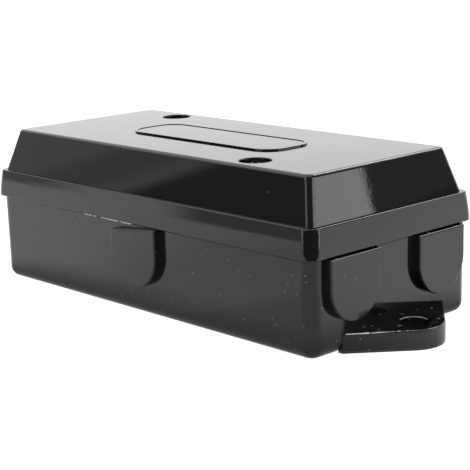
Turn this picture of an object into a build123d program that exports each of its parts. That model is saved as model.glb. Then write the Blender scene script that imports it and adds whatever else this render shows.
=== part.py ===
"""Seven-way trailer junction box: a moulded tray with fixing ears, a bevelled cover and seven wiring studs.

Frame: millimetres, +Z up, X along the box. The origin is the middle of the flat underside.
"""
from build123d import *
import os
from math import asin, cos, radians, sin, tan

# Cover, outside
COVER_LENGTH = 120.0         # over the bottom edge of the skirt, along X
COVER_WIDTH = 57.9           # over the bottom edge of the skirt, along Y
COVER_TOP_Z = 41.4           # flat top above the underside of the tray
SKIRT_BOTTOM_Z = 23.2        # lower edge of the skirt
SKIRT_HEIGHT = 7.2           # upright band at the foot of the cover
SKIRT_LEAN = 0.7             # the band leans in by this much towards its top
SKIRT_BULGE = 0.12           # the band's middle stands out this far past a straight lean
SHOULDER_WIDTH = 1.3         # narrow ledge above the band
SHOULDER_RISE = 0.4
BEVEL_LEAN = 3.0             # the sloping sides lean in by this much
SKIRT_CORNER = 2.8           # plan radius of the band's corners
BEVEL_CORNER = 2.0           # plan radius of the sloping sides' corners
TOP_EDGE_ROUND = 1.0         # rounding between sloping sides and top
SHOULDER_ROUND = 0.3
SKIRT_EDGE_ROUND = 0.3
COVER_WALL = 2.1             # sloping sides, measured level
COVER_ROOF = 2.2

# Raised label field on the cover, left bare inside its frame
LABEL_LENGTH = 54.4
LABEL_WIDTH = 16.8
LABEL_RISE = 0.4
LABEL_CORNER = 6.0
LABEL_FRAME_WIDTH = 0.7      # narrow frame round the field
LABEL_SINK = 0.15            # the field lies this far below its frame

# Tray
SKIRT_OVERHANG = 0.9         # the skirt stands out past the tray's wall by this much
TRAY_WALL = 2.6
TRAY_FLOOR = 2.6
TRAY_CORNER = 3.4            # plan radius of the tray's corners
TRAY_EDGE_ROUND = 3.0        # rounding between walls and underside
TRAY_LEAN = 0.15             # the walls lean in by this much towards the underside
INNER_CORNER = 1.6           # plan radius inside the tray

# Tongue on the tray's rim, inside the skirt, and the seal on top of it
TONGUE_WALL = 1.3
TONGUE_TOP_Z = 28.3
TONGUE_CLEARANCE = 0.3       # between tongue and skirt, and between the tray's step and the skirt's edge
SEAL_THICKNESS = 1.0

# Cable entries: hollow humps that are cut or knocked out where a cable goes in
HUMP_WIDTH = 16.8
HUMP_DEPTH = 2.0             # how far a hump stands out from the wall
HUMP_CENTRE_Z = 15.9         # centre of its round lower end
HUMP_SKIN = 1.6
HUMP_TOP_GAP = 0.15          # between a hump's flat top and the skirt's edge
HUMP_EDGE_ROUND = 0.4
SHORT_WALL_HUMP_Y = 15.3     # the pair on each short wall sits at plus and minus this
LONG_HUMP_TOP_FALL = 1.8     # the single hump on a long wall has a top that slopes down by this much

# Fixing ears
EAR_THICKNESS = 4.8
EAR_ROOT_WIDTH = 36.4        # where the ear leaves the wall
EAR_TIP_RADIUS = 8.5
EAR_TIP_FROM_END = 3.3       # centre of the round tip, outside the end of the cover
EAR_EDGE_ROUND = 0.4
FIXING_HOLE_FROM_END = 4.9   # hole centre, outside the end of the cover
FIXING_HOLE_DIAMETER = 6.5

# Cover screws: one near each end, on opposite sides, both set off centre by the same shift
SCREW_FROM_END = 25.6        # in from the cover's end, before the shift
SCREW_FROM_SIDE = 11.0       # in from the cover's long side
SCREW_SHIFT_X = -2.3
SCREW_SHANK_DIAMETER = 3.4
SCREW_SHANK_LENGTH = 26.0
SCREW_POINT_LENGTH = 2.0
SCREW_POINT_SHARE = 0.25     # flat left at the point, as a share of the shank's diameter
SCREW_HEAD_DIAMETER = 7.2
SCREW_HEAD_HEIGHT = 2.6
SCREW_HEAD_RIM = 1.0         # upright part of the domed head
SCREW_HEAD_SINK = 0.4        # the head's crown lies this far below the cover's top
CROSS_SPAN = 4.0             # cross recess in the head
CROSS_SLOT = 0.9
CROSS_DEPTH = 1.6
CROSS_TAPER = 10.0           # degrees
CROSS_TURN = 45.0            # degrees from the box's length
HEAD_CLEARANCE = 0.35        # round the head, in the cover's recess
RUNNING_CLEARANCE = 0.05     # round a shank in its bore and in a nut
SHANK_CLEARANCE = 0.5        # round the shank in the cover's tube

# Screw pillars in the tray and the tubes of the cover that meet them
PILLAR_DIAMETER = 8.0
PILLAR_TOP_Z = 26.0
SCREW_TIP_GAP = 2.8          # bore left free below the screw's point
PILLAR_GAP = 0.3             # left between pillar and tube, so that the seal is pressed
TUBE_DIAMETER = 8.0
RECESS_WALL = 1.6            # plastic round and under the head's recess
RECESS_RIM_ROUND = 0.3       # at the recess's mouth
WEB_THICKNESS = 1.8          # webs that tie pillars and tubes to the nearest long wall

# Wiring studs: hexagon-headed, pushed up through posts in the floor
STUD_PITCH_X = 21.0
STUD_ROW_SHARE = 0.165       # each row lies off the middle by this share of the room's width
STUD_ROWS = [(1, 4), (-1, 3)]        # side of the box and number of studs in that row
STUD_DIAMETER = 5.0
STUD_END_Z = 24.0
STUD_END_CHAMFER = 0.6
STUD_HEAD_ACROSS_FLATS = 8.0
STUD_HEAD_HEIGHT = 3.5
STUD_HEAD_SINK = 0.3         # the head lies this far above the underside
STUD_HEAD_CLEARANCE = 0.1    # on each flat
POST_DIAMETER = 12.6
POST_TOP_Z = 8.5

# Washers and nuts on each stud
WASHER_DIAMETER = 10.0
WASHER_THICKNESS = 1.0
WASHER_CLEARANCE = 0.15
SPRING_WASHER_DIAMETER = 8.6
SPRING_WASHER_THICKNESS = 1.3
SPRING_WASHER_SLIT = 0.8
SLIT_ANGLE = 25.0            # degrees that the slit leans from upright
NUT_ACROSS_FLATS = 8.0
NUT_HEIGHT = 4.0
NUT_CHAMFER_ANGLE = 30.0

# Places worked out from the sizes above
SKIRT_TOP_Z = SKIRT_BOTTOM_Z + SKIRT_HEIGHT
BEVEL_BOTTOM_Z = SKIRT_TOP_Z + SHOULDER_RISE
TRAY_LENGTH = COVER_LENGTH - 2 * SKIRT_OVERHANG
TRAY_WIDTH = COVER_WIDTH - 2 * SKIRT_OVERHANG
CAVITY_LENGTH = TRAY_LENGTH - 2 * TRAY_WALL
CAVITY_WIDTH = TRAY_WIDTH - 2 * TRAY_WALL
TONGUE_LENGTH = CAVITY_LENGTH + 2 * TONGUE_WALL
TONGUE_WIDTH = CAVITY_WIDTH + 2 * TONGUE_WALL
STEP_Z = SKIRT_BOTTOM_Z - TONGUE_CLEARANCE
SEAL_SHELF_Z = TONGUE_TOP_Z + SEAL_THICKNESS
RECESS_DIAMETER = SCREW_HEAD_DIAMETER + 2 * HEAD_CLEARANCE
RECESS_FLOOR_Z = COVER_TOP_Z - SCREW_HEAD_SINK - SCREW_HEAD_HEIGHT
TUBE_BOTTOM_Z = PILLAR_TOP_Z + PILLAR_GAP
BORE_BOTTOM_Z = RECESS_FLOOR_Z - SCREW_SHANK_LENGTH - SCREW_TIP_GAP
SCREW_X = COVER_LENGTH / 2 - SCREW_FROM_END
SCREW_Y = COVER_WIDTH / 2 - SCREW_FROM_SIDE
SCREW_PLACES = [
    (SCREW_X + SCREW_SHIFT_X, -SCREW_Y),
    (-SCREW_X + SCREW_SHIFT_X, SCREW_Y),
]
STUD_ROW_Y = CAVITY_WIDTH * STUD_ROW_SHARE
FIXING_HOLE_X = COVER_LENGTH / 2 + FIXING_HOLE_FROM_END
STUD_HEAD_TOP_Z = STUD_HEAD_SINK + STUD_HEAD_HEIGHT
BEVEL_SLOPE = BEVEL_LEAN / (COVER_TOP_Z - BEVEL_BOTTOM_Z)
THROUGH = 1.0                # extra length of a cutter past the face it opens
LEVEL_TOLERANCE = 1e-4       # for finding edges at a height
HALF_TURN = 180
QUARTER_TURN = 90
HEXAGON_HALF_ANGLE = 30


def stud_places():
    """Centres of the studs, row by row, each row spread evenly about the middle of the box."""
    places = []
    for side, count in STUD_ROWS:
        for index in range(count):
            x = (index - (count - 1) / 2) * STUD_PITCH_X
            places.append((x, side * STUD_ROW_Y))
    return places


def plan(length, width, corner, z):
    """Rounded rectangle centred on the box, at height z."""
    return Plane.XY.offset(z) * RectangleRounded(length, width, corner)


def leaning_block(low, high):
    """Solid between two plans, each given as (length, width, corner, z)."""
    return loft([plan(*low), plan(*high)], ruled=True)


def upright_block(length, width, corner, z_low, z_high):
    """Straight-sided solid with a rounded plan."""
    return extrude(plan(length, width, corner, z_low), z_high - z_low)


def post(x, y, diameter, z_low, z_high):
    """Upright cylinder."""
    circle = Plane.XY.offset(z_low) * (Pos(x, y) * Circle(diameter / 2))
    return extrude(circle, z_high - z_low)


def hexagon(x, y, across_flats, z_low, z_high):
    """Upright hexagonal prism."""
    shape = RegularPolygon(across_flats / 2, 6, major_radius=False)
    return extrude(Plane.XY.offset(z_low) * (Pos(x, y) * shape), z_high - z_low)


def web(x, y, wall_y, z_low, z_high):
    """Flat web that runs along Y from the axis at (x, y) to the wall at wall_y."""
    reach = abs(wall_y - y)
    middle = (wall_y + y) / 2
    return Pos(x, middle, (z_low + z_high) / 2) * Box(WEB_THICKNESS, reach, z_high - z_low)


def edges_at(solid, z):
    """Edges that lie flat at height z."""
    return [edge for edge in solid.edges() if abs(edge.bounding_box().min.Z - z) < LEVEL_TOLERANCE
            and abs(edge.bounding_box().max.Z - z) < LEVEL_TOLERANCE]


# Tray

def hump_outline(inset, top_left_z, top_right_z):
    """U outline of a hump, seen from outside, with the round end down. Drawn on X and Y as across and up."""
    half = HUMP_WIDTH / 2 - inset
    sides = Polyline(
        (-half, HUMP_CENTRE_Z), (-half, top_left_z - inset), (half, top_right_z - inset), (half, HUMP_CENTRE_Z))
    round_end = ThreePointArc((half, HUMP_CENTRE_Z), (0, HUMP_CENTRE_Z - half), (-half, HUMP_CENTRE_Z))
    return make_face(sides + round_end)


def hump(top_fall=0.0):
    """One hump and its hollow, standing on the plane Y = 0 and facing -Y.

    The hollow starts one tray wall behind that plane, so cutting it opens the wall behind the hump.
    """
    top_right_z = SKIRT_BOTTOM_Z - HUMP_TOP_GAP
    top_left_z = top_right_z - top_fall
    root = TRAY_LEAN + TRAY_WALL / 2
    outline = hump_outline(0, top_left_z, top_right_z)
    outside = extrude(Plane.XZ.offset(HUMP_DEPTH) * outline, -(HUMP_DEPTH + root))
    front_edges = [edge for edge in outside.edges() if abs(edge.center().Y + HUMP_DEPTH) < LEVEL_TOLERANCE]
    outside = fillet(front_edges, HUMP_EDGE_ROUND)
    hollow_outline = hump_outline(HUMP_SKIN, top_left_z, top_right_z)
    hollow_depth = HUMP_DEPTH - HUMP_SKIN
    hollow = extrude(Plane.XZ.offset(hollow_depth) * hollow_outline, -(hollow_depth + TRAY_WALL + THROUGH))
    return outside, hollow


def hump_locations():
    """Where each hump stands, as a turn about Z and a shift, with the fall of its top."""
    half_length = TRAY_LENGTH / 2
    half_width = TRAY_WIDTH / 2
    places = []
    for turn in (0, HALF_TURN):
        places.append((Rot(0, 0, turn) * Pos(0, -half_width, 0), LONG_HUMP_TOP_FALL))
        for y in (-SHORT_WALL_HUMP_Y, SHORT_WALL_HUMP_Y):
            places.append((Rot(0, 0, turn + QUARTER_TURN) * Pos(y, -half_length, 0), 0.0))
    return places


def ear(side):
    """Fixing ear at one end: a flat tab that narrows to a round tip about its hole."""
    root_x = TRAY_LENGTH / 2 - TRAY_WALL / 2
    root_length = TRAY_WALL / 2
    tip = Pos(COVER_LENGTH / 2 + EAR_TIP_FROM_END, 0) * Circle(EAR_TIP_RADIUS)
    root = Pos(root_x + root_length / 2, 0) * Rectangle(root_length, EAR_ROOT_WIDTH)
    outline = make_hull(tip.edges() + root.edges())
    tab = extrude(outline, EAR_THICKNESS)
    rim = [edge for edge in edges_at(tab, EAR_THICKNESS) if edge.center().X > root_x + THROUGH]
    tab = fillet(rim, EAR_EDGE_ROUND)
    tab -= post(FIXING_HOLE_X, 0, FIXING_HOLE_DIAMETER, -THROUGH, EAR_THICKNESS + THROUGH)
    return Rot(0, 0, 0 if side > 0 else HALF_TURN) * tab


def make_tray():
    """The whole tray is one moulding."""
    under = (TRAY_LENGTH - 2 * TRAY_LEAN, TRAY_WIDTH - 2 * TRAY_LEAN, TRAY_CORNER, 0)
    top = (TRAY_LENGTH, TRAY_WIDTH, TRAY_CORNER, STEP_Z)
    tray = leaning_block(under, top)
    tray = fillet(edges_at(tray, 0), TRAY_EDGE_ROUND)
    tongue_corner = INNER_CORNER + TONGUE_WALL
    tray += upright_block(TONGUE_LENGTH, TONGUE_WIDTH, tongue_corner, STEP_Z - THROUGH, TONGUE_TOP_Z)
    hollows = []
    for place, fall in hump_locations():
        outside, hollow = hump(fall)
        tray += place * outside
        hollows.append(place * hollow)
    for side in (1, -1):
        tray += ear(side)
    tray -= upright_block(CAVITY_LENGTH, CAVITY_WIDTH, INNER_CORNER, TRAY_FLOOR, TONGUE_TOP_Z + THROUGH)
    for hollow in hollows:
        tray -= hollow
    for x, y in stud_places():
        tray += post(x, y, POST_DIAMETER, TRAY_FLOOR / 2, POST_TOP_Z)
    for x, y in SCREW_PLACES:
        wall_y = (CAVITY_WIDTH / 2 + TRAY_WALL / 2) * (1 if y > 0 else -1)
        tray += web(x, y, wall_y, TRAY_FLOOR / 2, STEP_Z)
        tray += post(x, y, PILLAR_DIAMETER, TRAY_FLOOR / 2, PILLAR_TOP_Z)
        bore = SCREW_SHANK_DIAMETER + 2 * RUNNING_CLEARANCE
        tray -= post(x, y, bore, BORE_BOTTOM_Z, PILLAR_TOP_Z + THROUGH)
    pocket = STUD_HEAD_ACROSS_FLATS + 2 * STUD_HEAD_CLEARANCE
    stud_hole = STUD_DIAMETER + 2 * RUNNING_CLEARANCE
    for x, y in stud_places():
        tray -= hexagon(x, y, pocket, -THROUGH, STUD_HEAD_TOP_Z)
        tray -= post(x, y, stud_hole, -THROUGH, POST_TOP_Z + THROUGH)
    return tray


# Cover

def skirt_plan(inset, rise):
    """Plan of the skirt, moved in by inset, at rise as a share of the skirt's height."""
    z = SKIRT_BOTTOM_Z + rise * SKIRT_HEIGHT
    return plan(COVER_LENGTH - 2 * inset, COVER_WIDTH - 2 * inset, SKIRT_CORNER, z)


def bevel_plan(inset, z):
    """Plan of the sloping sides at height z, moved in level by inset."""
    lean = (z - BEVEL_BOTTOM_Z) * BEVEL_SLOPE
    shift = 2 * (SKIRT_LEAN + SHOULDER_WIDTH + lean + inset)
    return (COVER_LENGTH - shift, COVER_WIDTH - shift, BEVEL_CORNER, z)


def is_recess_mouth(edge):
    """True for the round edge where a screw's recess opens in the top."""
    return edge.geom_type == GeomType.CIRCLE and abs(edge.radius - RECESS_DIAMETER / 2) < LEVEL_TOLERANCE


def make_cover():
    """The cover is one moulding: skirt, shoulder, sloping sides, roof and two screw tubes."""
    skirt = loft([skirt_plan(0, 0), skirt_plan(SKIRT_LEAN / 2 - SKIRT_BULGE, 0.5), skirt_plan(SKIRT_LEAN, 1)])
    skirt = fillet(edges_at(skirt, SKIRT_TOP_Z), SHOULDER_ROUND)
    skirt = fillet(edges_at(skirt, SKIRT_BOTTOM_Z), SKIRT_EDGE_ROUND)
    hood = leaning_block(bevel_plan(0, SKIRT_TOP_Z - THROUGH), bevel_plan(0, COVER_TOP_Z))
    hood = fillet(edges_at(hood, COVER_TOP_Z), TOP_EDGE_ROUND)
    cover = skirt + hood
    label = plan(LABEL_LENGTH, LABEL_WIDTH, LABEL_CORNER, COVER_TOP_Z - THROUGH)
    cover += extrude(label, THROUGH + LABEL_RISE)
    frame = 2 * LABEL_FRAME_WIDTH
    label_top_z = COVER_TOP_Z + LABEL_RISE
    cover -= upright_block(
        LABEL_LENGTH - frame, LABEL_WIDTH - frame, LABEL_CORNER - LABEL_FRAME_WIDTH,
        label_top_z - LABEL_SINK, label_top_z + THROUGH)
    skirt_inside = TONGUE_CLEARANCE * 2
    inside_corner = INNER_CORNER + TONGUE_WALL + TONGUE_CLEARANCE
    cover -= upright_block(
        TONGUE_LENGTH + skirt_inside, TONGUE_WIDTH + skirt_inside, inside_corner,
        SKIRT_BOTTOM_Z - THROUGH, SEAL_SHELF_Z)
    cover -= leaning_block(
        bevel_plan(COVER_WALL, SEAL_SHELF_Z - THROUGH), bevel_plan(COVER_WALL, COVER_TOP_Z - COVER_ROOF))
    for x, y in SCREW_PLACES:
        wall_y = (COVER_WIDTH / 2 - SKIRT_LEAN - SHOULDER_WIDTH - BEVEL_LEAN) * (1 if y > 0 else -1)
        recess_shell = RECESS_DIAMETER + 2 * RECESS_WALL
        cover += post(x, y, recess_shell, RECESS_FLOOR_Z - RECESS_WALL, COVER_TOP_Z - COVER_ROOF / 2)
        cover += post(x, y, TUBE_DIAMETER, TUBE_BOTTOM_Z, RECESS_FLOOR_Z)
        cover += web(x, y, wall_y, SEAL_SHELF_Z, COVER_TOP_Z - COVER_ROOF / 2)
        cover -= post(x, y, RECESS_DIAMETER, RECESS_FLOOR_Z, COVER_TOP_Z + THROUGH)
        tube_bore = SCREW_SHANK_DIAMETER + 2 * SHANK_CLEARANCE
        cover -= post(x, y, tube_bore, TUBE_BOTTOM_Z - THROUGH, RECESS_FLOOR_Z + THROUGH)
    mouths = [edge for edge in edges_at(cover, COVER_TOP_Z) if is_recess_mouth(edge)]
    cover = fillet(mouths, RECESS_RIM_ROUND)
    return cover


def make_seal():
    """Flat rubber ring on the tongue, pressed by the cover."""
    outer = upright_block(TONGUE_LENGTH, TONGUE_WIDTH, INNER_CORNER + TONGUE_WALL, TONGUE_TOP_Z, SEAL_SHELF_Z)
    inner = upright_block(
        CAVITY_LENGTH, CAVITY_WIDTH, INNER_CORNER, TONGUE_TOP_Z - THROUGH, SEAL_SHELF_Z + THROUGH)
    return outer - inner


# Fasteners

def make_cover_screw(x, y):
    """Pan-headed self-tapping screw with a cross recess; the thread is left off its shank."""
    shank = SCREW_SHANK_DIAMETER / 2
    head = SCREW_HEAD_DIAMETER / 2
    crown_z = SCREW_HEAD_HEIGHT
    dome_rise = crown_z - SCREW_HEAD_RIM
    dome_radius = (head ** 2 + dome_rise ** 2) / (2 * dome_rise)
    half_angle = asin(head / dome_radius) / 2
    dome_middle = (dome_radius * sin(half_angle), crown_z - dome_radius * (1 - cos(half_angle)))
    profile = Polyline(
        (0, crown_z), (0, -SCREW_SHANK_LENGTH), (shank * SCREW_POINT_SHARE, -SCREW_SHANK_LENGTH),
        (shank, SCREW_POINT_LENGTH - SCREW_SHANK_LENGTH), (shank, 0), (head, 0), (head, SCREW_HEAD_RIM))
    dome = ThreePointArc((head, SCREW_HEAD_RIM), dome_middle, (0, crown_z))
    screw = revolve(Plane.XZ * make_face(profile + dome), Axis.Z)
    for turn in (CROSS_TURN, CROSS_TURN + QUARTER_TURN):
        slot = extrude(
            Plane.XY.offset(crown_z) * (Rot(0, 0, turn) * Rectangle(CROSS_SPAN, CROSS_SLOT)),
            -CROSS_DEPTH, taper=CROSS_TAPER)
        screw -= slot
    return Pos(x, y, RECESS_FLOOR_Z) * screw


def chamfered_hexagon(across_flats, height, both_ends):
    """Hexagonal prism from z = 0 up, its corners turned off at the top, or at both ends."""
    corner = across_flats / 2 / cos(radians(HEXAGON_HALF_ANGLE))
    drop = (corner - across_flats / 2) * tan(radians(NUT_CHAMFER_ANGLE))
    flat = across_flats / 2
    low = [(0, 0), (flat, 0), (corner, drop)] if both_ends else [(0, 0), (corner, 0)]
    points = low + [(corner, height - drop), (flat, height), (0, height)]
    envelope = revolve(Plane.XZ * make_face(Polyline(points, close=True)), Axis.Z)
    return hexagon(0, 0, across_flats, 0, height) & envelope


def make_stud(x, y):
    """Hexagon-headed stud, head down in the tray's pocket."""
    head = Rot(HALF_TURN, 0, 0) * chamfered_hexagon(STUD_HEAD_ACROSS_FLATS, STUD_HEAD_HEIGHT, False)
    head = Pos(0, 0, STUD_HEAD_TOP_Z) * head
    shank = post(0, 0, STUD_DIAMETER, STUD_HEAD_TOP_Z, STUD_END_Z)
    shank = chamfer(edges_at(shank, STUD_END_Z), STUD_END_CHAMFER)
    return Pos(x, y) * (head + shank)


def make_nut(x, y, z):
    """Hexagon nut with its lower face at z."""
    nut = chamfered_hexagon(NUT_ACROSS_FLATS, NUT_HEIGHT, True)
    nut -= post(0, 0, STUD_DIAMETER + 2 * RUNNING_CLEARANCE, -THROUGH, NUT_HEIGHT + THROUGH)
    return Pos(x, y, z) * nut


def make_flat_washer(x, y, z):
    """Plain round washer with its lower face at z."""
    washer = post(0, 0, WASHER_DIAMETER, 0, WASHER_THICKNESS)
    washer -= post(0, 0, STUD_DIAMETER + 2 * WASHER_CLEARANCE, -THROUGH, WASHER_THICKNESS + THROUGH)
    return Pos(x, y, z) * washer


def make_spring_washer(x, y, z):
    """Split spring washer, pressed flat, with its lower face at z."""
    washer = post(0, 0, SPRING_WASHER_DIAMETER, 0, SPRING_WASHER_THICKNESS)
    washer -= post(0, 0, STUD_DIAMETER + 2 * WASHER_CLEARANCE, -THROUGH, SPRING_WASHER_THICKNESS + THROUGH)
    slit = Box(SPRING_WASHER_DIAMETER, SPRING_WASHER_SLIT, SPRING_WASHER_THICKNESS * 3)
    slit_place = Pos(SPRING_WASHER_DIAMETER / 2, 0, SPRING_WASHER_THICKNESS / 2) * Rot(SLIT_ANGLE, 0, 0)
    washer -= slit_place * slit
    return Pos(x, y, z) * washer


def build():
    """All pieces by node name."""
    pieces = {
        "base_tray": make_tray(),
        "cover": make_cover(),
        "cover_seal": make_seal(),
    }
    for number, (x, y) in enumerate(SCREW_PLACES, start=1):
        pieces[f"cover_screw_{number}"] = make_cover_screw(x, y)
    washer_z = POST_TOP_Z
    lock_nut_z = washer_z + WASHER_THICKNESS
    spring_washer_z = lock_nut_z + NUT_HEIGHT
    clamp_nut_z = spring_washer_z + SPRING_WASHER_THICKNESS
    for number, (x, y) in enumerate(stud_places(), start=1):
        pieces[f"stud_{number}"] = make_stud(x, y)
        pieces[f"flat_washer_{number}"] = make_flat_washer(x, y, washer_z)
        pieces[f"lock_nut_{number}"] = make_nut(x, y, lock_nut_z)
        pieces[f"spring_washer_{number}"] = make_spring_washer(x, y, spring_washer_z)
        pieces[f"clamp_nut_{number}"] = make_nut(x, y, clamp_nut_z)
    return pieces


os.makedirs("parts", exist_ok=True)
for name, shape in build().items():
    export_step(shape, f"parts/{name}.step")
    print(name, round(shape.volume, 1))
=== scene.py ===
# %% [markdown]
# # A seven-way trailer junction box in black ABS
#
# The box is a moulded tray with a bevelled cover, two cover screws and, inside, seven brass wiring
# studs. The construction is already there as a fixed frame: every part sits where it belongs, in
# metres, +Z up. This lesson dresses those parts, adds the threads and the small moulding flaws, and
# lights the set.
#
# Loading the frame first means that nothing has to be fitted later: each new piece takes its place from
# it.

import math
import random

import bmesh
import bpy
from mathutils import Matrix, Vector
from mathutils.bvhtree import BVHTree


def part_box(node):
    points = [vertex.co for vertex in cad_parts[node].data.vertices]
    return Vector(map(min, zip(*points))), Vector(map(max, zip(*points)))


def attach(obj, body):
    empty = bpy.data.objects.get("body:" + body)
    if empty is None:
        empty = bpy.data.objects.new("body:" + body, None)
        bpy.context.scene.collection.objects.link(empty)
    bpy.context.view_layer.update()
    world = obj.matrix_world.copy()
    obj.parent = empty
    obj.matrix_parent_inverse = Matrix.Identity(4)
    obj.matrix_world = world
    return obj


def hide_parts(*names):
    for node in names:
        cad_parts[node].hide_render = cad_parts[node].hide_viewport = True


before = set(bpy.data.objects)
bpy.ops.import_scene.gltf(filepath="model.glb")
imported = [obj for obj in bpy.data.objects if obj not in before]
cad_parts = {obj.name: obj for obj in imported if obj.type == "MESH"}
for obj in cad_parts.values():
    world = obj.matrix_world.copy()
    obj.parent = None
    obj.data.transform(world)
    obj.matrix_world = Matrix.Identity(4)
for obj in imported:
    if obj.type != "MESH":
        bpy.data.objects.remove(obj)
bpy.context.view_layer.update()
MM = 0.001
print("parts in the frame:", len(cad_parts))

# %% [markdown]
# ## Two helpers for colours and shader nodes
#
# Colours are easiest to read as the sRGB hex values of a paint chart, but shaders calculate with linear
# light, so one function turns the first into the second. A second function adds a node, sets what it is
# given and links what is already there. Building every material from that one function keeps each of
# them to a few lines.

# %% Colour and node helpers


def linear(hex_colour):
    """sRGB hex, such as "#1a2b3c", as linear RGB with an alpha of 1."""
    channels = [int(hex_colour[start:start + 2], 16) / 255 for start in (1, 3, 5)]
    light = [c / 12.92 if c <= 0.04045 else ((c + 0.055) / 1.055) ** 2.4 for c in channels]
    return (*light, 1.0)


def add_node(tree, kind, inputs=None, **attributes):
    """Adds a node of that kind. An input is a value for its socket, or another node's output to link."""
    node = tree.nodes.new("ShaderNode" + kind)
    for name, value in attributes.items():
        setattr(node, name, value)
    for socket, value in (inputs or {}).items():
        if isinstance(value, bpy.types.NodeSocket):
            tree.links.new(value, node.inputs[socket])
        else:
            node.inputs[socket].default_value = value
    return node


def new_material(name):
    """An empty material and its node tree."""
    material = bpy.data.materials.new(name)
    material.use_nodes = True
    material.node_tree.nodes.clear()
    return material, material.node_tree


def surface(tree, shader):
    """Links a finished shader node to the material's output."""
    return add_node(tree, "OutputMaterial", {"Surface": shader.outputs[0]})


print("black ABS, #0d0d0f, in linear light:", [round(c, 4) for c in linear("#0d0d0f")])

# %% [markdown]
# ## Black ABS from a polished mould
#
# Both mouldings are acrylonitrile butadiene styrene with carbon black. The pigment swallows nearly all
# the light that enters, so almost everything the eye sees is mirrored by the skin: the base colour is
# close to black, and the IOR of 1.5 and a low roughness do the rest. Four things keep it from looking
# like glass.
#
# - The walls sink a little as they cool, so reflections bend. That is a bump of about a micrometre over
#   a few millimetres, far too shallow to model and just enough to move a mirrored edge.
# - The steel mould was polished up and down, the way the part leaves it. Those strokes are about 0.6 mm
#   apart, and they break the edge of a mirrored lamp into upright streaks.
# - Handling leaves patches that are slightly less glossy.
# - Dust sits on it as pale specks of about 0.3 mm, larger and more of them on the tray's faces that
#   look up.
#
# Noise textures give the first three, and a Voronoi texture, whose cells are round spots, gives the
# dust. The scale of each is one over its size in metres, because the object's own coordinates are in
# metres.

# %% Moulded ABS
SINK_LENGTH = 3 * MM
STROKE_GAP = 0.6 * MM
STROKE_STRETCH = 0.08
HANDLED_PATCH = 14 * MM
SPECK_RADIUS = 0.17 * MM
SPECK_CORE = 0.6


def moulded_abs(name, polish, scuffed, sink_depth, stroke_depth, dust_gap, settled, seed):
    """Black ABS. polish and scuffed are the roughness of clean and handled skin.

    dust_gap is the way from speck to speck, and settled how much a speck's radius grows on a face that
    looks up. seed shifts the patterns, so that the two mouldings differ.
    """
    material, tree = new_material(name)
    place = add_node(tree, "TexCoord").outputs["Object"]
    shifted = add_node(tree, "Mapping", {"Vector": place, "Location": (seed, 0.0, 0.0)}).outputs["Vector"]
    handled = add_node(tree, "TexNoise", {"Vector": shifted, "Scale": 1 / HANDLED_PATCH, "Detail": 5.0})
    roughness = add_node(
        tree, "MapRange",
        {"Value": handled.outputs["Fac"], "From Min": 0.42, "From Max": 0.72,
         "To Min": polish, "To Max": scuffed})
    specks = add_node(tree, "TexVoronoi", {"Vector": shifted, "Scale": 1 / dust_gap})
    facing = add_node(tree, "SeparateXYZ", {"Vector": add_node(tree, "NewGeometry").outputs["Normal"]})
    upward = add_node(tree, "Math", {0: facing.outputs["Z"], 1: 0.0}, operation="MAXIMUM")
    nearness = add_node(
        tree, "Math",
        {0: upward.outputs[0], 1: -settled / dust_gap, 2: specks.outputs["Distance"]},
        operation="MULTIPLY_ADD")
    speck_radius = SPECK_RADIUS / dust_gap
    dusty = add_node(
        tree, "MapRange",
        {"Value": nearness.outputs[0], "From Min": SPECK_CORE * speck_radius, "From Max": speck_radius,
         "To Min": 1.0, "To Max": 0.0})
    colour = add_node(
        tree, "Mix",
        {0: dusty.outputs["Result"], 6: linear("#0d0d0f"), 7: linear("#66655e")},
        data_type="RGBA")
    sink = add_node(
        tree, "TexNoise",
        {"Vector": shifted, "Scale": 1 / SINK_LENGTH, "Detail": 3.0, "Roughness": 0.45})
    sunken = add_node(
        tree, "Bump",
        {"Height": sink.outputs["Fac"], "Distance": sink_depth, "Strength": 1.0})
    upright = add_node(tree, "Mapping", {"Vector": shifted, "Scale": (1.0, 1.0, STROKE_STRETCH)})
    strokes = add_node(
        tree, "TexNoise",
        {"Vector": upright.outputs["Vector"], "Scale": 1 / STROKE_GAP, "Detail": 2.0})
    stroked = add_node(
        tree, "Bump",
        {"Height": strokes.outputs["Fac"], "Distance": stroke_depth, "Strength": 1.0,
         "Normal": sunken.outputs["Normal"]})
    shader = add_node(
        tree, "BsdfPrincipled",
        {"Base Color": colour.outputs[2], "Roughness": roughness.outputs["Result"], "IOR": 1.5,
         "Normal": stroked.outputs["Normal"]})
    surface(tree, shader)
    return material


tray_abs = moulded_abs("abs_black_tray", 0.06, 0.12, 1.2e-6, 0.5e-6, 2.4 * MM, 0.21 * MM, 0.0)
cover_abs = moulded_abs("abs_black_cover", 0.015, 0.035, 0.8e-6, 1.4e-6, 5.0 * MM, 0.0, 0.4)
print("made", tray_abs.name, "and", cover_abs.name)

# %% [markdown]
# ## Brass, zinc plate, black zinc, rubber, and pale plastic with painted glints
#
# The metals differ in how they were worked, and that is what their roughness says. Turned brass keeps
# fine marks from the tool. Zinc plate is paler and cloudy. The cover screws are steel with a black zinc
# coat, dark and a little oily. One noise gives each metal its clouds, in colour and in roughness, and a
# finer one its marks, since a perfectly even metal is what gives a render away.
#
# The seal is soft nitrile rubber, matt with a fine grain. The last material is for moulding flash, and
# its colour is partly painted highlight:
# black ABS that was torn and bent turns chalky grey, and the pale colour also stands in for the glints on
# these edges.

# %% Metals, rubber and pale plastic, partly painted highlight
TOOL_MARK_GAP = 0.25 * MM
RUBBER_GRAIN = 0.4 * MM
RUBBER_GRAIN_DEPTH = 8e-6
CRAZE_SIZE = 0.5 * MM


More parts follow.
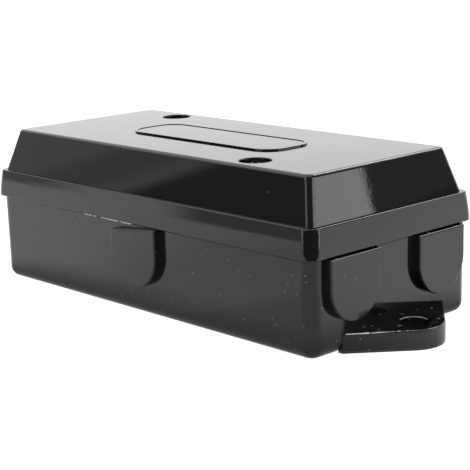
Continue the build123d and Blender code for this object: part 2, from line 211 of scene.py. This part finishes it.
def worked_metal(name, bright, dull, smooth, rough, grain, mark_depth):
    """A metal with clouds of the size of grain, in colour and roughness, and marks of that depth."""
    material, tree = new_material(name)
    place = add_node(tree, "TexCoord").outputs["Object"]
    clouds = add_node(tree, "TexNoise", {"Vector": place, "Scale": 1 / grain, "Detail": 4.0})
    colour = add_node(
        tree, "Mix", {0: clouds.outputs["Fac"], 6: linear(bright), 7: linear(dull)}, data_type="RGBA")
    roughness = add_node(
        tree, "MapRange", {"Value": clouds.outputs["Fac"], "From Min": 0.35, "From Max": 0.65,
                           "To Min": smooth, "To Max": rough})
    marks = add_node(tree, "TexNoise", {"Vector": place, "Scale": 1 / TOOL_MARK_GAP, "Detail": 2.0})
    bump = add_node(
        tree, "Bump", {"Height": marks.outputs["Fac"], "Distance": mark_depth, "Strength": 1.0})
    shader = add_node(
        tree, "BsdfPrincipled",
        {"Base Color": colour.outputs[2], "Metallic": 1.0, "Roughness": roughness.outputs["Result"],
         "Normal": bump.outputs["Normal"]})
    surface(tree, shader)
    return material


def nitrile_rubber(name):
    """Matt black rubber with a fine grain of about 0.4 mm."""
    material, tree = new_material(name)
    place = add_node(tree, "TexCoord").outputs["Object"]
    grain = add_node(tree, "TexNoise", {"Vector": place, "Scale": 1 / RUBBER_GRAIN, "Detail": 3.0})
    bump = add_node(
        tree, "Bump", {"Height": grain.outputs["Fac"], "Distance": RUBBER_GRAIN_DEPTH, "Strength": 1.0})
    roughness = add_node(tree, "MapRange", {"Value": grain.outputs["Fac"], "To Min": 0.6, "To Max": 0.85})
    shader = add_node(
        tree, "BsdfPrincipled",
        {"Base Color": linear("#1b1b1a"), "Roughness": roughness.outputs["Result"], "IOR": 1.52,
         "Normal": bump.outputs["Normal"]})
    surface(tree, shader)
    return material


def whitened_flash_and_painted_glint(name):
    """Pale flash: torn and bent ABS turns chalky grey, and the pale colour is also painted highlight, for
    glints.
    """
    material, tree = new_material(name)
    place = add_node(tree, "TexCoord").outputs["Object"]
    crazed = add_node(tree, "TexNoise", {"Vector": place, "Scale": 1 / CRAZE_SIZE, "Detail": 4.0})
    colour = add_node(
        tree, "Mix",
        {0: crazed.outputs["Fac"], 6: linear("#57565a"), 7: linear("#c9c8c6")},
        data_type="RGBA")
    shader = add_node(
        tree, "BsdfPrincipled", {"Base Color": colour.outputs[2], "Roughness": 0.55, "IOR": 1.5})
    surface(tree, shader)
    return material


turned_brass = worked_metal("brass_turned", "#e3c27a", "#c9a257", 0.18, 0.32, 1.6 * MM, 1.5e-6)
zinc_plate = worked_metal("steel_zinc_plate", "#d4d6d9", "#b4b8bd", 0.22, 0.40, 0.9 * MM, 2.0e-6)
black_zinc = worked_metal("steel_black_zinc", "#4c4c51", "#2b2b2f", 0.18, 0.32, 0.7 * MM, 2.0e-6)
seal_rubber = nitrile_rubber("rubber_nitrile")
pale_abs_and_painted_glint = whitened_flash_and_painted_glint("abs_whitened_and_painted_glint")
print("made", turned_brass.name, zinc_plate.name, black_zinc.name, seal_rubber.name, pale_abs_and_painted_glint.name)

# %% Dress the parts of the frame
# The first start of a name that fits counts, so plain "cover" comes after the seal and the screws.
FINISHES = {
    "base_tray": tray_abs,
    "cover_seal": seal_rubber,
    "cover_screw": black_zinc,
    "cover": cover_abs,
    "stud": turned_brass,
    "lock_nut": turned_brass,
    "clamp_nut": turned_brass,
    "flat_washer": zinc_plate,
    "spring_washer": zinc_plate,
}

for node_name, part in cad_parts.items():
    family = next(start for start in FINISHES if node_name.startswith(start))
    part.data.materials.clear()
    part.data.materials.append(FINISHES[family])
print("dressed", len(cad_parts), "parts")

# %% [markdown]
# ## Wiring studs with a real thread
#
# Each stud is a brass M5 screw, pushed up through its post with the hexagon head underneath. In the
# frame its shank is a plain round bar, since a thread matters to the eye alone.
#
# A thread could be a screw modifier on a small profile, or a bump in the material. The modifier leaves
# open ends that have to be closed by hand, and a bump looks flat from the side, just where a thread
# shows. Here the stud is a stack of rings, a tenth of a millimetre apart, whose radius depends on
# height and angle. One radius function makes the thread, another the hexagon, and the stack closes
# itself at both ends.

# %% Rings stacked into one closed skin
FULL_TURN = 2 * math.pi
RING_STEP = 0.1 * MM
RING_COLUMNS = 24
CREASE_ANGLE = 32


def level_ring(middle, z, reach, columns=RING_COLUMNS):
    """Points around middle at the height z. reach is a radius, or a function of the angle for one."""
    points = []
    for column in range(columns):
        angle = FULL_TURN * column / columns
        radius = reach(angle) if callable(reach) else reach
        points.append((middle.x + radius * math.cos(angle), middle.y + radius * math.sin(angle), z))
    return points


def stacked(rings, middle):
    """Points and faces of a closed skin over the rings, from the lowest to the highest."""
    columns = len(rings[0])
    points = [(middle.x, middle.y, rings[0][0][2])]
    for ring in rings:
        points.extend(ring)
    points.append((middle.x, middle.y, rings[-1][0][2]))
    last_ring = 1 + columns * (len(rings) - 1)
    faces = []
    for column in range(columns):
        after = (column + 1) % columns
        faces.append((0, 1 + after, 1 + column))
        faces.append((last_ring + column, last_ring + after, len(points) - 1))
        for row in range(len(rings) - 1):
            low = 1 + columns * row
            faces.append((low + column, low + after, low + columns + after, low + columns + column))
    return points, faces


def plain_mesh(name, points, faces):
    """An object from points and faces."""
    mesh = bpy.data.meshes.new(name)
    mesh.from_pydata(points, [], faces)
    mesh.update()
    thing = bpy.data.objects.new(name, mesh)
    bpy.context.scene.collection.objects.link(thing)
    return thing


def shade_by_angle(mesh, limit=CREASE_ANGLE):
    """Smooth shading, with a crisp edge wherever two faces meet at more than the limit in degrees."""
    form = bmesh.new()
    form.from_mesh(mesh)
    bmesh.ops.recalc_face_normals(form, faces=form.faces)
    for face in form.faces:
        face.smooth = True
    for edge in form.edges:
        edge.smooth = edge.is_manifold and edge.calc_face_angle() < math.radians(limit)
    form.to_mesh(mesh)
    form.free()


print("ring step in mm:", RING_STEP / MM)

# %% Thread and hexagon as radius functions
THREAD_FLAT = 1 / 8


def thread_reach(angle, z, major_radius, depth, pitch):
    """Radius of a right-hand thread with a flat crest and a flat root, each an eighth of the pitch."""
    turn = (z / pitch - angle / FULL_TURN) % 1.0
    flank = (abs(2 * turn - 1) - THREAD_FLAT) / (1 - 2 * THREAD_FLAT)
    return major_radius - depth * (1 - min(1.0, max(0.0, flank)))


def hexagon_reach(angle, apothem):
    """Radius of a hexagon with corners at whole multiples of 60 degrees."""
    return apothem / math.cos(angle % (FULL_TURN / 6) - FULL_TURN / 12)


print("hexagon 8 mm across flats, across corners:", round(2 * hexagon_reach(0.0, 4.0), 2))

# %% Seven threaded studs
STUD_RADIUS = 2.5 * MM
STUD_PITCH = 0.8 * MM
STUD_THREAD_DEPTH = 0.49 * MM
STUD_HEAD_APOTHEM = 4.0 * MM
STUD_HEAD_HEIGHT = 3.5 * MM
STUD_HEAD_EDGE = 0.35 * MM
STUD_END_CHAMFER = 0.6 * MM


def wiring_stud(node_name):
    """A hexagon-headed M5 stud in place of the frame's plain one."""
    low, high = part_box(node_name)
    middle = (low + high) / 2
    head_top = low.z + STUD_HEAD_HEIGHT

    def hexagon(angle):
        return hexagon_reach(angle, STUD_HEAD_APOTHEM)

    rings = [
        level_ring(middle, low.z, STUD_HEAD_APOTHEM - STUD_HEAD_EDGE),
        level_ring(middle, low.z + STUD_HEAD_EDGE, hexagon),
        level_ring(middle, head_top, hexagon),
    ]
    steps = round((high.z - head_top) / RING_STEP)
    for step in range(steps + 1):
        z = head_top + (high.z - head_top) * step / steps
        widest = STUD_RADIUS - STUD_END_CHAMFER + high.z - z

        def threaded(angle):
            return min(widest, thread_reach(angle, z, STUD_RADIUS, STUD_THREAD_DEPTH, STUD_PITCH))

        rings.append(level_ring(middle, z, threaded))
    stud = plain_mesh("threaded_" + node_name, *stacked(rings, middle))
    shade_by_angle(stud.data)
    stud.data.materials.append(turned_brass)
    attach(stud, "base")
    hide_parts(node_name)
    return stud


studs = [wiring_stud(node_name) for node_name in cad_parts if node_name.startswith("stud_")]
print("studs:", len(studs), "with", len(studs[0].data.polygons), "faces each")

# %% [markdown]
# ## Cover screws for plastic
#
# A screw that cuts its own way into plastic has a coarse thread with wide gaps, a short point, and a
# pan head with a cross recess. The head sits deep in its round pocket, so the cross shows only from
# above.
#
# The head is a stack of rings as well. The cross doesn't follow rings, so it is cut with a Boolean
# modifier: a tapered cross-shaped punch, the way a real punch forms it. The modifier's result then
# becomes the mesh, and the threaded shank joins it in the same object.

# %% Cross punch and cut
CROSS_TURN = FULL_TURN / 8
PUNCH_RISE = 0.3 * MM


def cross_punch(middle, crown_z, length, width, depth, taper):
    """A cross-shaped plug that narrows downwards, its arms turned by 45 degrees. taper is in degrees."""
    points = []
    for z in (crown_z - depth, crown_z + PUNCH_RISE):
        spread = math.tan(math.radians(taper)) * (z - crown_z)
        a = length / 2 + spread
        b = width / 2 + spread / 2
        outline = [(a, b), (b, b), (b, a), (-b, a), (-b, b), (-a, b),
                   (-a, -b), (-b, -b), (-b, -a), (b, -a), (b, -b), (a, -b)]
        for x, y in outline:
            turned = Matrix.Rotation(CROSS_TURN, 2) @ Vector((x, y))
            points.append((middle.x + turned.x, middle.y + turned.y, z))
    corners = len(outline)
    sides = [(i, (i + 1) % corners, corners + (i + 1) % corners, corners + i) for i in range(corners)]
    bottom = tuple(range(corners - 1, -1, -1))
    top = tuple(range(corners, 2 * corners))
    return plain_mesh("cross_punch", points, [bottom, top, *sides])


def cut_with(piece, punch):
    """Cuts the punch out of the piece, keeps the result as its mesh and removes the punch."""
    recess = piece.modifiers.new("recess", "BOOLEAN")
    recess.operation = "DIFFERENCE"
    recess.solver = "EXACT"
    recess.object = punch
    bpy.context.view_layer.update()
    cut = piece.evaluated_get(bpy.context.evaluated_depsgraph_get())
    shaped = bpy.data.meshes.new_from_object(cut)
    piece.modifiers.clear()
    piece.data = shaped
    bpy.data.objects.remove(punch)


print("arms of the cross turned by, in degrees:", round(math.degrees(CROSS_TURN)))

# %% Two cover screws
HEAD_RADIUS = 3.6 * MM
HEAD_HEIGHT = 2.6 * MM
HEAD_RIM = 1.0 * MM
HEAD_COLUMNS = 48
DOME_RINGS = 14
CROSS_LENGTH = 4.0 * MM
CROSS_WIDTH = 0.9 * MM
CROSS_DEPTH = 1.6 * MM
CROSS_TAPER = 10
SHANK_RADIUS = 1.7 * MM
SHANK_PITCH = 1.4 * MM
SHANK_THREAD_DEPTH = 0.5 * MM
POINT_LENGTH = 2.0 * MM
POINT_SHARE = 0.25


def cover_screw(node_name):
    """A pan-headed screw for plastic in place of the frame's plain one."""
    low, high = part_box(node_name)
    middle = (low + high) / 2
    seat = high.z - HEAD_HEIGHT
    dome_rise = HEAD_HEIGHT - HEAD_RIM
    sphere = (HEAD_RADIUS ** 2 + dome_rise ** 2) / (2 * dome_rise)
    rings = [level_ring(middle, seat, HEAD_RADIUS, HEAD_COLUMNS)]
    for step in range(DOME_RINGS):
        radius = HEAD_RADIUS * (1 - step / DOME_RINGS)
        z = high.z - sphere + math.sqrt(sphere ** 2 - radius ** 2)
        rings.append(level_ring(middle, z, radius, HEAD_COLUMNS))
    screw = plain_mesh("threaded_" + node_name, *stacked(rings, middle))
    shade_by_angle(screw.data)
    cut_with(screw, cross_punch(middle, high.z, CROSS_LENGTH, CROSS_WIDTH, CROSS_DEPTH, CROSS_TAPER))

    rings = []
    steps = round((seat + HEAD_RIM / 2 - low.z) / RING_STEP)
    for step in range(steps + 1):
        z = low.z + RING_STEP * step
        share = min(1.0, POINT_SHARE + (1 - POINT_SHARE) * (z - low.z) / POINT_LENGTH)

        def threaded(angle):
            return share * thread_reach(angle, z, SHANK_RADIUS, SHANK_THREAD_DEPTH, SHANK_PITCH)

        rings.append(level_ring(middle, z, threaded))
    shank = plain_mesh("shank", *stacked(rings, middle))
    form = bmesh.new()
    form.from_mesh(screw.data)
    form.from_mesh(shank.data)
    form.to_mesh(screw.data)
    form.free()
    bpy.data.objects.remove(shank)
    shade_by_angle(screw.data)
    screw.data.materials.clear()
    screw.data.materials.append(black_zinc)
    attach(screw, node_name)
    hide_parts(node_name)
    return screw


screws = [cover_screw(name) for name in ("cover_screw_1", "cover_screw_2")]
print("screws:", [(screw.name, len(screw.data.polygons)) for screw in screws])

# %% [markdown]
# ## Flash where the mould closes, pale partly as painted highlight
#
# Where two parts of a mould meet, a little plastic creeps between them and stays as a ragged fin. Torn
# and bent, it turns pale, and that pale colour is painted highlight too, for the glints on these edges.
# This box has some below the near edge of the cover's skirt, some along the upper edge of the fixing
# ears, and a pale burr on the far side of each ear's hole, whose colour paints the glint on the hole's
# far rim.
#
# It could be painted on as a texture, but it stands off the edges and catches the light there, so it is
# geometry: closed strips, each a row of small sections whose reach comes from seeded random numbers.
# Each strip has its root inside the wall that it grew from.

# %% Ragged strips
FLASH_STEP = 0.3 * MM
FLASH_THICKNESS = 0.12 * MM
TAPER_POWER = 0.3


def ragged_strips(name, runs, body):
    """Closed strips from runs of sections: where each stands, which way is out, its root and tip in z."""
    points, faces = [], []
    for run in runs:
        first = len(points)
        for spot, outward, root, tip in run:
            for side, z in ((0.5, root), (-0.5, root), (-0.5, tip), (0.5, tip)):
                place = spot + outward * side * FLASH_THICKNESS
                points.append((place.x, place.y, z))
        for section in range(len(run) - 1):
            near = first + 4 * section
            for corner in range(4):
                after = (corner + 1) % 4
                faces.append((near + corner, near + after, near + 4 + after, near + 4 + corner))
        last = first + 4 * (len(run) - 1)
        faces.append((first + 3, first + 2, first + 1, first))
        faces.append((last, last + 1, last + 2, last + 3))
    strips = plain_mesh(name, points, faces)
    shade_by_angle(strips.data)
    # The pale colour is partly stress-whitened flash and partly painted highlight: the glints on these
    # edges.
    strips.data.materials.append(pale_abs_and_painted_glint)
    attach(strips, body)
    return strips


def tapered(share):
    """0 at both ends of a run and near 1 between them."""
    return math.sin(math.pi * share) ** TAPER_POWER


print("flash thickness in mm:", FLASH_THICKNESS / MM)

# %% Flash below the skirt
# Starts and ends along the box, and the farthest reach below the edge, in millimetres
SKIRT_FLASH_RUNS = [(-20.5, -17.2), (-16.6, -15.4), (-13.6, -6.4), (-5.8, -1.2)]
SKIRT_FLASH_REACH = 0.15
SKIRT_FLASH_INSET = 0.15 * MM
SKIRT_FLASH_ROOT = 0.22 * MM
SKIRT_FLASH_SEED = 11


def skirt_flash():
    """Four strips below the near edge of the cover's skirt."""
    chance = random.Random(SKIRT_FLASH_SEED)
    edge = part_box("cover")[0]
    runs = []
    for start, end in SKIRT_FLASH_RUNS:
        sections = round((end - start) * MM / FLASH_STEP)
        run = []
        for section in range(sections + 1):
            spot = Vector((start * MM + FLASH_STEP * section, edge.y + SKIRT_FLASH_INSET))
            reach = tapered(section / sections) * chance.uniform(0.0, SKIRT_FLASH_REACH) * MM
            run.append((spot, Vector((0, -1)), edge.z + SKIRT_FLASH_ROOT, edge.z - reach))
        runs.append(run)
    return ragged_strips("skirt_flash", runs, "cover")


print("skirt flash faces:", len(skirt_flash().data.polygons))

# %% Outline of a fixing ear
EAR_TOP = 4.8 * MM
EAR_TIP_RADIUS = 8.5 * MM
EAR_ROOT = Vector((59.6, -17.6)) * MM
EAR_EDGE_INSET = 0.22 * MM
EAR_ARC_END = 30


def ear_outline():
    """Points along the near edge of the right-hand ear and round its tip, each with its way out."""
    centre = Vector((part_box("base_tray")[1].x - EAR_TIP_RADIUS, 0))
    reach = EAR_TIP_RADIUS - EAR_EDGE_INSET
    towards_root = EAR_ROOT - centre
    touch = math.atan2(towards_root.y, towards_root.x) + math.acos(reach / towards_root.length)
    outward = Vector((math.cos(touch), math.sin(touch)))
    tangent_end = centre + outward * reach
    count = round((tangent_end - EAR_ROOT).length / FLASH_STEP)
    line = [(EAR_ROOT.lerp(tangent_end, step / count), outward) for step in range(count)]
    arc = []
    while touch < math.radians(EAR_ARC_END):
        outward = Vector((math.cos(touch), math.sin(touch)))
        arc.append((centre + outward * reach, outward))
        touch += FLASH_STEP / reach
    return line + arc


print("points on an ear's outline:", len(ear_outline()))

# %% Flash and burr on the fixing ears
# Heights of the tips against the ear's top, lowest and highest, in millimetres
EDGE_TIPS = (-0.17, 0.01)
BURR_TIPS = (0.04, 0.16)
EDGE_ROOT = 0.3 * MM
BREAK_CHANCE = 0.16
SHORTEST_RUN = 3
HOLE_FROM_TIP = 6.9 * MM
HOLE_RADIUS = 3.25 * MM
BURR_ROOT = 0.2 * MM
BURR_STEPS = 45
BURR_START = 62
BURR_STEP = 3.2


def ear_flash(side, seed):
    """Edge flash and hole burr of one ear, pale partly as painted glints. side is 1 for the right-hand
    ear and -1 for the left one.
    """
    chance = random.Random(seed)
    runs, run = [], []
    for spot, outward in ear_outline():
        if chance.random() < BREAK_CHANCE and len(run) > SHORTEST_RUN:
            runs.append(run)
            run = []
        tip = EAR_TOP + chance.uniform(*EDGE_TIPS) * MM
        run.append((spot * side, outward * side, EAR_TOP - EDGE_ROOT, tip))
    runs.append(run)
    # The burr's pale colour is painted highlight: it stands in for the glint on the far rim of the hole.
    centre = Vector((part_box("base_tray")[1].x - HOLE_FROM_TIP, 0))
    burr = []
    for step in range(BURR_STEPS + 1):
        angle = math.radians(BURR_START + BURR_STEP * step)
        outward = Vector((math.cos(angle), math.sin(angle)))
        reach = tapered(step / BURR_STEPS) * chance.uniform(*BURR_TIPS) * MM
        spot = centre + outward * (HOLE_RADIUS + FLASH_THICKNESS / 2)
        burr.append((spot * side, outward * side, EAR_TOP - BURR_ROOT, EAR_TOP + reach))
    name = "ear_flash_right" if side > 0 else "ear_flash_left"
    return ragged_strips(name, [r for r in runs if len(r) > 1] + [burr], "base")


ears = [ear_flash(1, 3), ear_flash(-1, 5)]
print("ear flash faces:", [len(ear.data.polygons) for ear in ears])

# %% [markdown]
# ## Sink rings at the gate
#
# The plastic entered the mould at the short end of the cover, through a wide, low gate. Where a gate
# freezes late the skin keeps faint oval rings, like a pebble's in a pond. They are a few micrometres
# high, and a mirror finish shows even that.
#
# Rings of bump would do, but they would lie on the inner side of the wall too. This is a small disc
# laid on the skirt instead: rays cast at the cover find the surface, and a cosine lifts the disc off it
# by micrometres. Its rim dips just below the surface, so that no edge stands up.

# %% Sink rings
GATE_Y = 21.0 * MM
GATE_Z = 26.3 * MM
GATE_HALF_WIDTH = 3.8 * MM
GATE_HALF_HEIGHT = 1.7 * MM
GATE_RINGS = 5
GATE_LIFT = 12e-6
GATE_WAVE = 6e-6
DISC_COLUMNS = 48
DISC_ROWS = 40
DISC_CREASE = 60
BEYOND_THE_BOX = 0.2


def sink_rings():
    """A thin disc with oval ripples on the cover's skirt at the right-hand end."""
    skin = BVHTree.FromObject(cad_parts["cover"], bpy.context.evaluated_depsgraph_get())

    def on_skirt(y, z, lift):
        place = skin.ray_cast(Vector((BEYOND_THE_BOX, y, z)), Vector((-1, 0, 0)))[0]
        return place.x + lift, y, z

    points = [on_skirt(GATE_Y, GATE_Z, GATE_LIFT + GATE_WAVE)]
    for row in range(1, DISC_ROWS + 1):
        share = row / DISC_ROWS
        lift = GATE_LIFT + GATE_WAVE * (1 - share) * math.cos(FULL_TURN * GATE_RINGS * share)
        if row == DISC_ROWS:
            lift = -GATE_LIFT
        for column in range(DISC_COLUMNS):
            angle = FULL_TURN * column / DISC_COLUMNS
            y = GATE_Y + GATE_HALF_WIDTH * share * math.cos(angle)
            z = GATE_Z + GATE_HALF_HEIGHT * share * math.sin(angle)
            points.append(on_skirt(y, z, lift))
    faces = []
    for column in range(DISC_COLUMNS):
        after = (column + 1) % DISC_COLUMNS
        faces.append((0, 1 + column, 1 + after))
        for row in range(DISC_ROWS - 1):
            low = 1 + DISC_COLUMNS * row
            high = low + DISC_COLUMNS
            faces.append((low + column, high + column, high + after, low + after))
    disc = plain_mesh("gate_sink_rings", points, faces)
    shade_by_angle(disc.data, DISC_CREASE)
    disc.data.materials.append(cover_abs)
    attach(disc, "cover")
    return disc


disc = sink_rings()
print("sink rings at y, z in mm:", round(GATE_Y / MM, 1), round(GATE_Z / MM, 1))
print("sink ring faces:", len(disc.data.polygons))

# %% [markdown]
# ## The set
#
# The photograph is high-key: a black glossy box on white, with no shadow. A light table does that. It
# is milky acrylic lit from below, so the floor stays white right up to the box. The room around it is
# white as well.
#
# A glossy black box only shows what it mirrors, so the set needs dark things too. Black flags stand
# beside the camera, a brighter softbox stands to the right, and the table has a dark rim. A strip
# light, high behind the box, draws the bright line on the cover's shoulder. They hang out of the
# picture and act on reflections alone, as a photographer's flags do.

# %% Light table and room
FLOOR_SIDE = 8.0
ROOM_LIGHT = 1.75


def light_table():
    """White acrylic floor, lit mostly from below, so that it shows no shadow."""
    half = FLOOR_SIDE / 2
    corners = [(-half, -half, 0), (half, -half, 0), (half, half, 0), (-half, half, 0)]
    floor = plain_mesh("light_table", corners, [(0, 1, 2, 3)])
    material, tree = new_material("acrylic_white_backlit")
    shader = add_node(
        tree, "BsdfPrincipled",
        {"Base Color": linear("#8c8c8c"), "Roughness": 0.9, "Specular IOR Level": 0.0,
         "Emission Color": linear("#ffffff"), "Emission Strength": 0.95})
    surface(tree, shader)
    floor.data.materials.append(material)
    return floor


def white_room():
    """The same soft white light from every side."""
    world = bpy.data.worlds.new("white_room")
    world.use_nodes = True
    world.node_tree.nodes.clear()
    light = add_node(world.node_tree, "Background", {"Color": linear("#ffffff"), "Strength": ROOM_LIGHT})
    add_node(world.node_tree, "OutputWorld", {"Surface": light.outputs[0]})
    bpy.context.scene.world = world
    bpy.context.scene.view_settings.view_transform = "Standard"


floor = light_table()
white_room()
print("made", floor.name, "with sides in m:", FLOOR_SIDE)

# %% [markdown]
# ## Cards that only reflections see
#
# Each card is a curved grid, given by angles as seen from the box: how far round from the camera, and
# how high. Its material fades from a plain glow to nothing near its edges, because a soft edge of light
# reads as a large softbox and a crisp one as a flag close by. Some cards are nearer. Low strips stand
# around the table as its rim, a small flag beside the right-hand ear keeps the ear's top dark, and
# three dim cards lie on the table as painted shade, in front of the box and close around its foot, where
# the box mirrors them in place of the bright table.

# %% Card helpers
CAMERA_AZIMUTH = 47.365
CARD_STEPS = 24
CRISPEST = 1e-4


def seen_from(azimuth, elevation, distance):
    """The point at that distance from the box. Azimuth 0 is in front, and it grows to the right."""
    a = math.radians(azimuth)
    e = math.radians(elevation)
    return Vector((math.sin(a) * math.cos(e), -math.cos(a) * math.cos(e), math.sin(e))) * distance


def soft_ends(tree, share, softness):
    """1 in the middle and 0 at both ends, with that much of the length to fall off in."""
    middle = add_node(tree, "Math", {0: share, 1: 0.5}, operation="SUBTRACT")
    away = add_node(tree, "Math", {0: middle.outputs[0]}, operation="ABSOLUTE")
    fall = add_node(
        tree, "MapRange",
        {"Value": away.outputs[0], "From Min": 0.5 - max(softness, CRISPEST), "From Max": 0.5,
         "To Min": 1.0, "To Max": 0.0},
        interpolation_type="SMOOTHSTEP")
    return fall.outputs["Result"]


def glowing_card(name, place, radiance, soft_along, soft_up):
    """A card for reflections. place gives the point for two shares, along the card and up it."""
    points, faces = [], []
    for row in range(CARD_STEPS + 1):
        for column in range(CARD_STEPS + 1):
            points.append(place(column / CARD_STEPS, row / CARD_STEPS))
    for row in range(CARD_STEPS):
        for column in range(CARD_STEPS):
            corner = row * (CARD_STEPS + 1) + column
            faces.append((corner, corner + 1, corner + CARD_STEPS + 2, corner + CARD_STEPS + 1))
    card = plain_mesh(name, points, faces)
    layer = card.data.uv_layers.new(name="card")
    for loop in card.data.loops:
        row, column = divmod(loop.vertex_index, CARD_STEPS + 1)
        layer.data[loop.index].uv = (column / CARD_STEPS, row / CARD_STEPS)
    material, tree = new_material(name)
    glow = add_node(tree, "Emission", {"Color": linear("#ffffff"), "Strength": radiance})
    clear = add_node(tree, "BsdfTransparent")
    spot = add_node(tree, "SeparateXYZ", {"Vector": add_node(tree, "UVMap", uv_map="card").outputs[0]})
    along = soft_ends(tree, spot.outputs[0], soft_along)
    upwards = soft_ends(tree, spot.outputs[1], soft_up)
    solid = add_node(tree, "Math", {0: along, 1: upwards}, operation="MULTIPLY")
    mixed = add_node(tree, "MixShader", {0: solid.outputs[0], 1: clear.outputs[0], 2: glow.outputs[0]})
    surface(tree, mixed)
    card.data.materials.append(material)
    card.visible_camera = False
    card.visible_diffuse = False
    card.visible_transmission = False
    card.visible_shadow = False
    return card


print("grid of a card:", CARD_STEPS, "by", CARD_STEPS)

# %% Flags, softbox and backdrop
CARD_DISTANCE = 4.0
SOFTBOX_LEAN = 0.17
FLAG_LEAN = 1.2
LEAN_PIVOT = 10


def hanging_card(name, azimuths, elevations, radiance, fades, behind=0.0, lean=0.0):
    """A card on a wide circle. Angles are in degrees, azimuths counted from the camera's own.

    fades are the soft widths along and up, behind is in metres, lean in degrees along for each degree up.
    """
    wide = azimuths[1] - azimuths[0]
    tall = elevations[1] - elevations[0]

    def place(along, up):
        elevation = elevations[0] + tall * up
        azimuth = CAMERA_AZIMUTH + azimuths[0] + wide * along + lean * (elevation - LEAN_PIVOT)
        return seen_from(azimuth, elevation, CARD_DISTANCE + behind)

    return glowing_card(name, place, radiance, fades[0] / wide, fades[1] / tall)


cards = [
    hanging_card("backdrop_behind", (112, 224), (1, 50), 1.45, (5, 2), 0.2),
    hanging_card("grey_card_left", (-134, -84), (2, 30), 0.66, (1.0, 2), 0.1),
    hanging_card("fold_in_grey_card", (-100.9, -97.3), (4, 26), 0.46, (1.5, 1), 0.0, FLAG_LEAN),
    hanging_card("flag_left", (-97.6, -76), (4, 26), 0.11, (1.0, 1), 0.0, FLAG_LEAN),
    hanging_card("flag_behind_camera", (-40, 40), (4, 60), 0.12, (6, 3)),
    hanging_card("softbox_right", (40, 90.5), (3, 28), 3.1, (0.1, 0.3), 0.0, SOFTBOX_LEAN),
    hanging_card("flag_above_softbox", (40, 93), (28, 62), 0.12, (0.1, 3), 0.1),
    hanging_card("flag_right", (89, 111), (3, 60), 0.2, (0.1, 0.5), 0.2),
    hanging_card("strip_light_high", (123, 153), (36, 54), 7.5, (2, 3)),
]
print("cards:", [card.name for card in cards])

# %% Strips that stand on the table


def standing_strip(name, azimuths, distance, height, radiance, fade, soft_up=0.03, foot=0.0):
    """A low upright card from foot to height, at that distance from the box's middle, in millimetres."""
    wide = azimuths[1] - azimuths[0]

    def place(along, up):
        spot = seen_from(CAMERA_AZIMUTH + azimuths[0] + wide * along, 0, distance * MM)
        spot.z = (foot + (height - foot) * up) * MM
        return spot

    return glowing_card(name, place, radiance, fade / wide, soft_up)


cards += [
    standing_strip("table_rim_far_left", (-140, -96.5), 440, 80, 0.60, 5, 0.2),
    standing_strip("table_rim_left", (-91, -73), 275, 48, 0.42, 5, 0.2),
    standing_strip("table_rim_front", (-54, 58), 200, 62, 0.05, 3),
    standing_strip("softbox_foot_right", (61, 71), 300, 60, 2.6, 2),
    standing_strip("flag_beside_ear", (68, 87), 170, 50, 0.12, 2, 0.12, 39),
]
print("strips:", [card.name for card in cards[-5:]])

# %% Painted shade on the table
LIFT = 0.2 * MM
FAN_SOFT_ENDS = 0.05
FOOT_HALF_LENGTH = 59 * MM
FOOT_HALF_WIDTH = 28 * MM
FOOT_BAND = 44 * MM
FOOT_POWER = 0.35


def shade_fan_on_table(name, azimuths, reach, radiance, fade, lift):
    """A dim fan of painted shade that lies on the table. reach is its nearest and farthest distance in
    millimetres.
    """
    wide = azimuths[1] - azimuths[0]

    def place(along, up):
        distance = (reach[0] + (reach[1] - reach[0]) * up) * MM
        spot = seen_from(CAMERA_AZIMUTH + azimuths[0] + wide * along, 0, distance)
        spot.z = lift
        return spot

    return glowing_card(name, place, radiance, fade / wide, FAN_SOFT_ENDS)


def painted_contact_shadow_at_foot(along, up):
    """A band around the box's foot for the painted contact shadow: a superellipse that grows from inside
    the walls to beyond them.
    """
    angle = FULL_TURN * (along + 0.25)
    spread = (up - 0.5) * FOOT_BAND
    x = (FOOT_HALF_LENGTH + spread) * abs(math.cos(angle)) ** FOOT_POWER
    y = (FOOT_HALF_WIDTH + spread) * abs(math.sin(angle)) ** FOOT_POWER
    return Vector((math.copysign(x, math.cos(angle)), math.copysign(y, math.sin(angle)), 3 * LIFT))


# Painted shade: dim cards over the bright table that reflections see in front of the box, and a painted
# contact shadow close around its foot.
cards += [
    shade_fan_on_table("painted_shade_front_of_table", (-100, 60), (25, 440), 0.98, 34, LIFT),
    shade_fan_on_table("painted_shade_front_of_corner", (-36, 36), (25, 190), 0.74, 14, 2 * LIFT),
    glowing_card("painted_contact_shadow_at_foot", painted_contact_shadow_at_foot, 0.45, 0.0, 0.5),
]
print("on the table:", [card.name for card in cards[-3:]])

# %% [markdown]
# ## The camera
#
# The photograph was taken with a long lens from a little above the cover, off the right front corner.
# Azimuth, elevation and distance describe that better than a list of coordinates, and a slight roll
# makes the verticals lean as they do in the photograph.

# %% Camera
CAMERA_ELEVATION = 12.418
CAMERA_DISTANCE = 362.06 * MM
CAMERA_ORBIT_HEIGHT = 20.0 * MM
CAMERA_AIM = Vector((3.24, 2.00, 15.56)) * MM
CAMERA_ROLL = -1.605
LENS = 105.97
SENSOR_WIDTH = 36.0
NEAREST_SEEN = 10 * MM


def photo_camera():
    """The camera at the photograph's place, made active."""
    data = bpy.data.cameras.new("photo_camera")
    data.lens = LENS
    data.sensor_width = SENSOR_WIDTH
    data.clip_start = NEAREST_SEEN
    camera = bpy.data.objects.new("photo_camera", data)
    bpy.context.scene.collection.objects.link(camera)
    camera.location = seen_from(CAMERA_AZIMUTH, CAMERA_ELEVATION, CAMERA_DISTANCE)
    camera.location.z += CAMERA_ORBIT_HEIGHT
    looking = (CAMERA_AIM - camera.location).to_track_quat("-Z", "Y")
    roll = Matrix.Rotation(math.radians(CAMERA_ROLL), 4, "Z")
    camera.rotation_mode = "QUATERNION"
    camera.rotation_quaternion = (looking.to_matrix().to_4x4() @ roll).to_quaternion()
    bpy.context.scene.camera = camera
    return camera


camera = photo_camera()
print("camera at, in mm:", [round(c / MM, 1) for c in camera.location])
